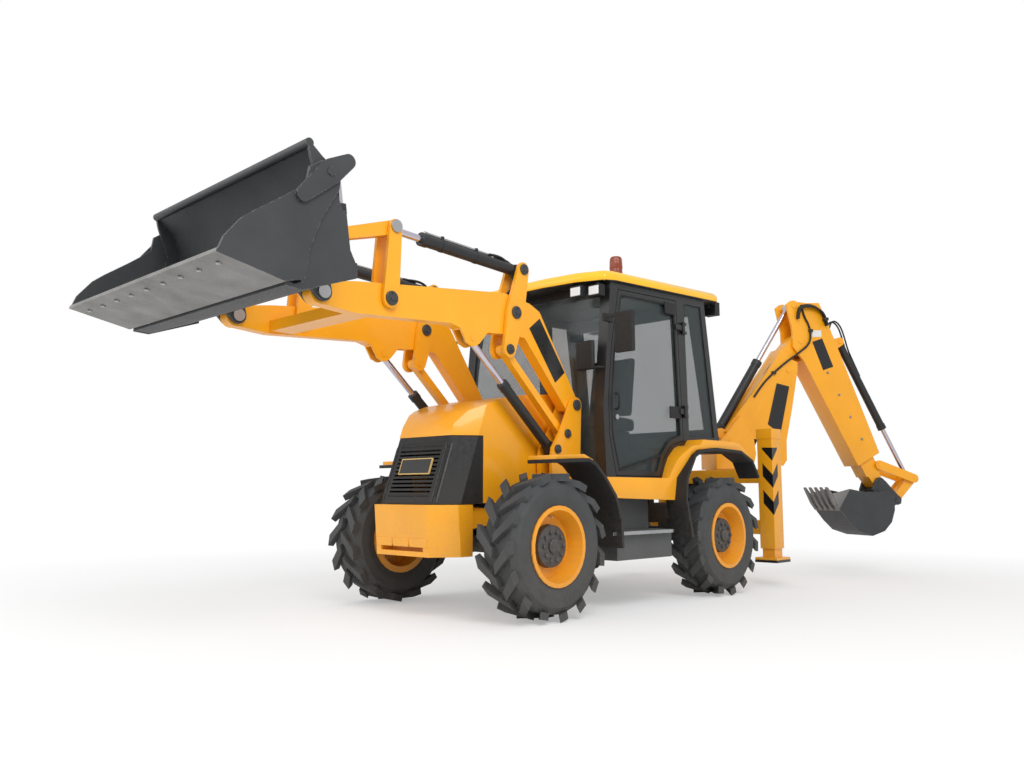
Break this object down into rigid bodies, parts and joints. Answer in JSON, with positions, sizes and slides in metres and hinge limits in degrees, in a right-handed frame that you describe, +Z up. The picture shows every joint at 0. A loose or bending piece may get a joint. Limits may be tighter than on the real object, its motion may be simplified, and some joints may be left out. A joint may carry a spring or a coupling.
{
  "type": "backhoe loader",
  "caption": "Wheeled backhoe loader: cab on a dark chassis, raised loader arms with a two-part shovel, slewed side-shift backhoe, stabiliser legs at the rear.",
  "frame": {"origin": "on the ground under the middle of the whole machine", "axes": "+X forward along the machine, +Y to its left, +Z up"},
  "size_m": [8.1944, 2.4356, 2.9259],
  "materials": {
    "machine_paint": "satin yellow-orange paint",
    "roof_paint": "satin yellow paint",
    "frame_paint": "dark grey paint",
    "bucket_paint": "charcoal paint worn by soil",
    "pin_steel": "bare steel",
    "rod_chrome": "hard chrome",
    "cast": "painted casting",
    "tyre": "matt rubber",
    "cab_glass": "tinted glass",
    "trim": "black moulding",
    "seat_cover": "dark woven cover"
  },
  "bodies": {
    "chassis": {"chassis": "frame_paint", "axles": "cast", "engine": "cast", "cab_shell": "frame_paint", "cab_roof": "roof_paint", "cab_glass": "cab_glass", "seat": "seat_cover", "console": "trim", "fenders": "trim", "bodywork": "machine_paint", "step_boxes": "frame_paint", "rear_frame": "machine_paint", "lamps_mirrors": "trim"},
    "hood": {"hood": "machine_paint", "grille": "trim"},
    "door_left": {"door_left": "frame_paint"},
    "door_right": {"door_right": "frame_paint"},
    "knuckle_left": {"knuckle_left": "cast"},
    "knuckle_right": {"knuckle_right": "cast"},
    "wheel_front_left": {"tyre_front_left": "tyre", "rim_front_left": "machine_paint"},
    "wheel_front_right": {"tyre_front_right": "tyre", "rim_front_right": "machine_paint"},
    "wheel_rear_left": {"tyre_rear_left": "tyre", "rim_rear_left": "machine_paint"},
    "wheel_rear_right": {"tyre_rear_right": "tyre", "rim_rear_right": "machine_paint"},
    "backhoe_bucket": {"backhoe_bucket": "bucket_paint"},
    "boom": {"boom": "machine_paint"},
    "boom_ram_barrel": {"boom_ram_barrel": "frame_paint"},
    "boom_ram_rod": {"boom_ram_rod": "rod_chrome"},
    "bucket_back": {"bucket_back": "bucket_paint"},
    "bucket_pins": {"bucket_pins": "pin_steel"},
    "bucket_ram_barrel": {"bucket_ram_barrel": "frame_paint"},
    "bucket_ram_rod": {"bucket_ram_rod": "rod_chrome"},
    "carriage": {"carriage": "frame_paint"},
    "clam_ram_barrels": {"clam_ram_barrels": "frame_paint"},
    "clam_ram_rods": {"clam_ram_rods": "rod_chrome"},
    "crank_pins": {"crank_pins": "pin_steel"},
    "cranks": {"cranks": "machine_paint"},
    "dipper": {"dipper": "machine_paint"},
    "dipper_inner": {"dipper_inner": "machine_paint"},
    "dipper_ram_barrel": {"dipper_ram_barrel": "frame_paint"},
    "dipper_ram_rod": {"dipper_ram_rod": "rod_chrome"},
    "jaw": {"jaw": "bucket_paint"},
    "kingpost": {"kingpost": "machine_paint"},
    "levers": {"levers": "machine_paint"},
    "lift_ram_barrels": {"lift_ram_barrels": "frame_paint"},
    "lift_ram_rods": {"lift_ram_rods": "rod_chrome"},
    "link_pins": {"link_pins": "pin_steel"},
    "loader_arms": {"loader_arms": "machine_paint"},
    "stabiliser_left": {"stabiliser_left": "machine_paint"},
    "stabiliser_right": {"stabiliser_right": "machine_paint"},
    "stay_links": {"stay_links": "machine_paint"},
    "tilt_base_pins": {"tilt_base_pins": "pin_steel"},
    "tilt_links": {"tilt_links": "machine_paint"},
    "tilt_ram_barrels": {"tilt_ram_barrels": "frame_paint"},
    "tilt_ram_rods": {"tilt_ram_rods": "rod_chrome"},
    "tipping_lever": {"tipping_lever": "machine_paint"},
    "tipping_link": {"tipping_link": "machine_paint"}
  },
  "joints": [
    {"name": "lift", "type": "hinge", "parent": "chassis", "child": "loader_arms", "pos_m": [0.9032, -0.1528, 1.528], "axis": [0, -1, 0], "range_deg": [-43, 30]},
    {"name": "lever_swing", "type": "hinge", "parent": "loader_arms", "child": "levers", "pos_m": [1.5732, -0.1528, 2.154], "axis": [0, -1, 0], "range_deg": [-29.35, 41.63]},
    {"name": "stay_swing", "type": "hinge", "parent": "chassis", "child": "stay_links", "pos_m": [1.0132, -0.1528, 1.303], "axis": [0, -1, 0], "range_deg": [-46.88, 33.01]},
    {"name": "crank_carry", "type": "hinge", "parent": "loader_arms", "child": "crank_pins", "pos_m": [2.7092, -0.1528, 2.077], "axis": [0, -1, 0], "range_deg": [-20.1, 28.38]},
    {"name": "crank_turn", "type": "hinge", "parent": "crank_pins", "child": "cranks", "pos_m": [2.7092, -0.1528, 2.077], "axis": [0, -1, 0], "range_deg": [-44.98, 6.86]},
    {"name": "link_carry", "type": "hinge", "parent": "cranks", "child": "link_pins", "pos_m": [2.6812, -0.1528, 2.552], "axis": [0, -1, 0], "range_deg": [-21.77, 15.49]},
    {"name": "link_turn", "type": "hinge", "parent": "link_pins", "child": "tilt_links", "pos_m": [2.6812, -0.1528, 2.552], "axis": [0, -1, 0], "range_deg": [-5.45, 34.36]},
    {"name": "bucket_carry", "type": "hinge", "parent": "loader_arms", "child": "bucket_pins", "pos_m": [3.2112, -0.1528, 2.038], "axis": [0, -1, 0], "range_deg": [-27.06, 38.35]},
    {"name": "bucket_tilt", "type": "hinge", "parent": "bucket_pins", "child": "bucket_back", "pos_m": [3.2112, -0.1528, 2.038], "axis": [0, -1, 0], "range_deg": [-60, 8]},
    {"name": "tilt_base_carry", "type": "hinge", "parent": "levers", "child": "tilt_base_pins", "pos_m": [1.4922, -0.1528, 2.488], "axis": [0, -1, 0], "range_deg": [-36.73, 25.93]},
    {"name": "tilt_barrel_turn", "type": "hinge", "parent": "tilt_base_pins", "child": "tilt_ram_barrels", "pos_m": [1.4922, -0.1528, 2.488], "axis": [0, -1, 0], "range_deg": [-4.16, 1.42]},
    {"name": "tilt_rod_slide", "type": "slide", "parent": "tilt_ram_barrels", "child": "tilt_ram_rods", "axis": [0.9986, 0, 0.0537], "range_m": [-0.05802, 0.37016]},
    {"name": "lift_barrel_turn", "type": "hinge", "parent": "chassis", "child": "lift_ram_barrels", "pos_m": [1.1282, -0.1528, 1.182], "axis": [0, -1, 0], "range_deg": [-43.56, 30.7]},
    {"name": "lift_rod_slide", "type": "slide", "parent": "lift_ram_barrels", "child": "lift_ram_rods", "axis": [0.7507, 0, 0.6606], "range_m": [-0.28965, 0.2051]},
    {"name": "jaw_open", "type": "hinge", "parent": "bucket_back", "child": "jaw", "pos_m": [3.4552, -0.1528, 2.599], "axis": [0, -1, 0], "range_deg": [0, 65]},
    {"name": "clam_barrel_turn", "type": "hinge", "parent": "bucket_back", "child": "clam_ram_barrels", "pos_m": [3.2602, -0.1528, 2.14], "axis": [0, -1, 0], "range_deg": [0, 1.93]},
    {"name": "clam_rod_slide", "type": "slide", "parent": "clam_ram_barrels", "child": "clam_ram_rods", "axis": [0.1427, 0, 0.9898], "range_m": [-0.16771, 0]},
    {"name": "hood_open", "type": "hinge", "parent": "chassis", "child": "hood", "pos_m": [0.8772, -0.1528, 1.6], "axis": [0, -1, 0], "range_deg": [0, 35]},
    {"name": "door_left_open", "type": "hinge", "parent": "chassis", "child": "door_left", "pos_m": [-0.2628, 0.6472, 1.7], "axis": [0, 0, 1], "range_deg": [0, 85]},
    {"name": "door_right_open", "type": "hinge", "parent": "chassis", "child": "door_right", "pos_m": [-0.2628, -0.9528, 1.7], "axis": [0, 0, -1], "range_deg": [0, 85]},
    {"name": "steer", "type": "hinge", "parent": "chassis", "child": "knuckle_left", "pos_m": [1.5792, 0.4472, 0.5], "axis": [0, 0, 1], "range_deg": [-25, 25]},
    {"name": "steer_right", "type": "hinge", "parent": "chassis", "child": "knuckle_right", "pos_m": [1.5792, -0.7528, 0.5], "axis": [0, 0, 1], "range_deg": [-25, 25]},
    {"name": "wheel_front_left_spin", "type": "hinge", "parent": "knuckle_left", "child": "wheel_front_left", "pos_m": [1.5792, 0.6802, 0.5], "axis": [0, 1, 0], "continuous": true},
    {"name": "wheel_front_right_spin", "type": "hinge", "parent": "knuckle_right", "child": "wheel_front_right", "pos_m": [1.5792, -0.9858, 0.5], "axis": [0, 1, 0], "continuous": true},
    {"name": "wheel_rear_left_spin", "type": "hinge", "parent": "chassis", "child": "wheel_rear_left", "pos_m": [-0.6078, 0.6802, 0.5], "axis": [0, 1, 0], "continuous": true},
    {"name": "wheel_rear_right_spin", "type": "hinge", "parent": "chassis", "child": "wheel_rear_right", "pos_m": [-0.6078, -0.9858, 0.5], "axis": [0, 1, 0], "continuous": true},
    {"name": "stabiliser_left_down", "type": "slide", "parent": "chassis", "child": "stabiliser_left", "axis": [0, 0, -1], "range_m": [0, 0.45]},
    {"name": "stabiliser_right_down", "type": "slide", "parent": "chassis", "child": "stabiliser_right", "axis": [0, 0, -1], "range_m": [0, 0.45]},
    {"name": "side_shift", "type": "slide", "parent": "chassis", "child": "carriage", "axis": [0, 1, 0], "range_m": [-0.4, 0.5]},
    {"name": "slew", "type": "hinge", "parent": "carriage", "child": "kingpost", "pos_m": [-1.8888, -0.2268, 0.8], "axis": [0, 0, -1], "range_deg": [-85, 48]},
    {"name": "boom_swing", "type": "hinge", "parent": "kingpost", "child": "boom", "pos_m": [-2.11862, -0.08319, 1.394], "axis": [0.5299, 0.848, 0], "range_deg": [-60, 15]},
    {"name": "boom_barrel_turn", "type": "hinge", "parent": "kingpost", "child": "boom_ram_barrel", "pos_m": [-2.29162, 0.02491, 1.19], "axis": [0.5299, 0.848, 0], "range_deg": [-62.67, 16.42]},
    {"name": "boom_rod_slide", "type": "slide", "parent": "boom_ram_barrel", "child": "boom_ram_rod", "axis": [-0.3935, 0.2459, 0.8858], "range_m": [-0.28372, 0.07843]},
    {"name": "dipper_swing", "type": "hinge", "parent": "boom", "child": "dipper", "pos_m": [-2.85982, 0.37996, 2.483], "axis": [0.5299, 0.848, 0], "range_deg": [-10, 80]},
    {"name": "dipper_barrel_turn", "type": "hinge", "parent": "boom", "child": "dipper_ram_barrel", "pos_m": [-2.04823, -0.12718, 1.48], "axis": [0.5299, 0.848, 0], "range_deg": [-1.7, 6.6]},
    {"name": "dipper_rod_slide", "type": "slide", "parent": "dipper_ram_barrel", "child": "dipper_ram_rod", "axis": [-0.458, 0.2862, 0.8417], "range_m": [-0.48825, 0.06978]},
    {"name": "dipper_extend", "type": "slide", "parent": "dipper", "child": "dipper_inner", "axis": [-0.4034, 0.252, -0.8796], "range_m": [0, 0.6]},
    {"name": "bucket_curl", "type": "hinge", "parent": "dipper_inner", "child": "backhoe_bucket", "pos_m": [-3.62136, 0.85582, 0.963], "axis": [0.5299, 0.848, 0], "range_deg": [-20, 85]},
    {"name": "tipping_lever_turn", "type": "hinge", "parent": "dipper_inner", "child": "tipping_lever", "pos_m": [-3.62645, 0.85901, 1.16], "axis": [0.5299, 0.848, 0], "range_deg": [-15.13, 61.06]},
    {"name": "tipping_link_turn", "type": "hinge", "parent": "tipping_lever", "child": "tipping_link", "pos_m": [-3.99196, 1.0874, 1.014], "axis": [0.5299, 0.848, 0], "range_deg": [-38.45, 9.81]},
    {"name": "bucket_barrel_turn", "type": "hinge", "parent": "dipper_inner", "child": "bucket_ram_barrel", "pos_m": [-3.322, 0.66876, 2.515], "axis": [0.5299, 0.848, 0], "range_deg": [-2.82, 8.72]},
    {"name": "bucket_rod_slide", "type": "slide", "parent": "bucket_ram_barrel", "child": "bucket_ram_rod", "axis": [-0.395, 0.2468, -0.8849], "range_m": [-0.42438, 0.1075]}
  ],
  "couplings": [
    {"joint": "lever_swing", "follows": "lift", "ratio": -0.945},
    {"joint": "stay_swing", "follows": "lift", "ratio": 1.067},
    {"joint": "crank_carry", "follows": "lift", "ratio": -0.63677},
    {"joint": "crank_turn", "follows": "bucket_tilt", "ratio": 0.73307},
    {"joint": "link_carry", "follows": "lift", "ratio": 0.48296},
    {"joint": "link_turn", "follows": "bucket_tilt", "ratio": -0.556},
    {"joint": "bucket_carry", "follows": "lift", "ratio": -0.86863},
    {"joint": "tilt_base_carry", "follows": "lift", "ratio": 0.83087},
    {"joint": "tilt_barrel_turn", "follows": "bucket_tilt", "ratio": 0.05272},
    {"joint": "tilt_rod_slide", "follows": "bucket_tilt", "m_per_rad": -0.34393},
    {"joint": "lift_barrel_turn", "follows": "lift", "ratio": 0.98984},
    {"joint": "lift_rod_slide", "follows": "lift", "m_per_rad": 0.37262},
    {"joint": "clam_barrel_turn", "follows": "jaw_open", "ratio": 0.01436},
    {"joint": "clam_rod_slide", "follows": "jaw_open", "m_per_rad": -0.13901},
    {"joint": "steer_right", "follows": "steer", "ratio": 1},
    {"joint": "boom_barrel_turn", "follows": "boom_swing", "ratio": 1.0279},
    {"joint": "boom_rod_slide", "follows": "boom_swing", "m_per_rad": 0.26138},
    {"joint": "dipper_barrel_turn", "follows": "dipper_swing", "ratio": 0.06995},
    {"joint": "dipper_rod_slide", "follows": "dipper_swing", "m_per_rad": -0.34252},
    {"joint": "tipping_lever_turn", "follows": "bucket_curl", "ratio": 0.70653},
    {"joint": "tipping_link_turn", "follows": "bucket_curl", "ratio": -0.44058},
    {"joint": "bucket_barrel_turn", "follows": "bucket_curl", "ratio": 0.09088},
    {"joint": "bucket_rod_slide", "follows": "bucket_curl", "m_per_rad": -0.27932}
  ]
}
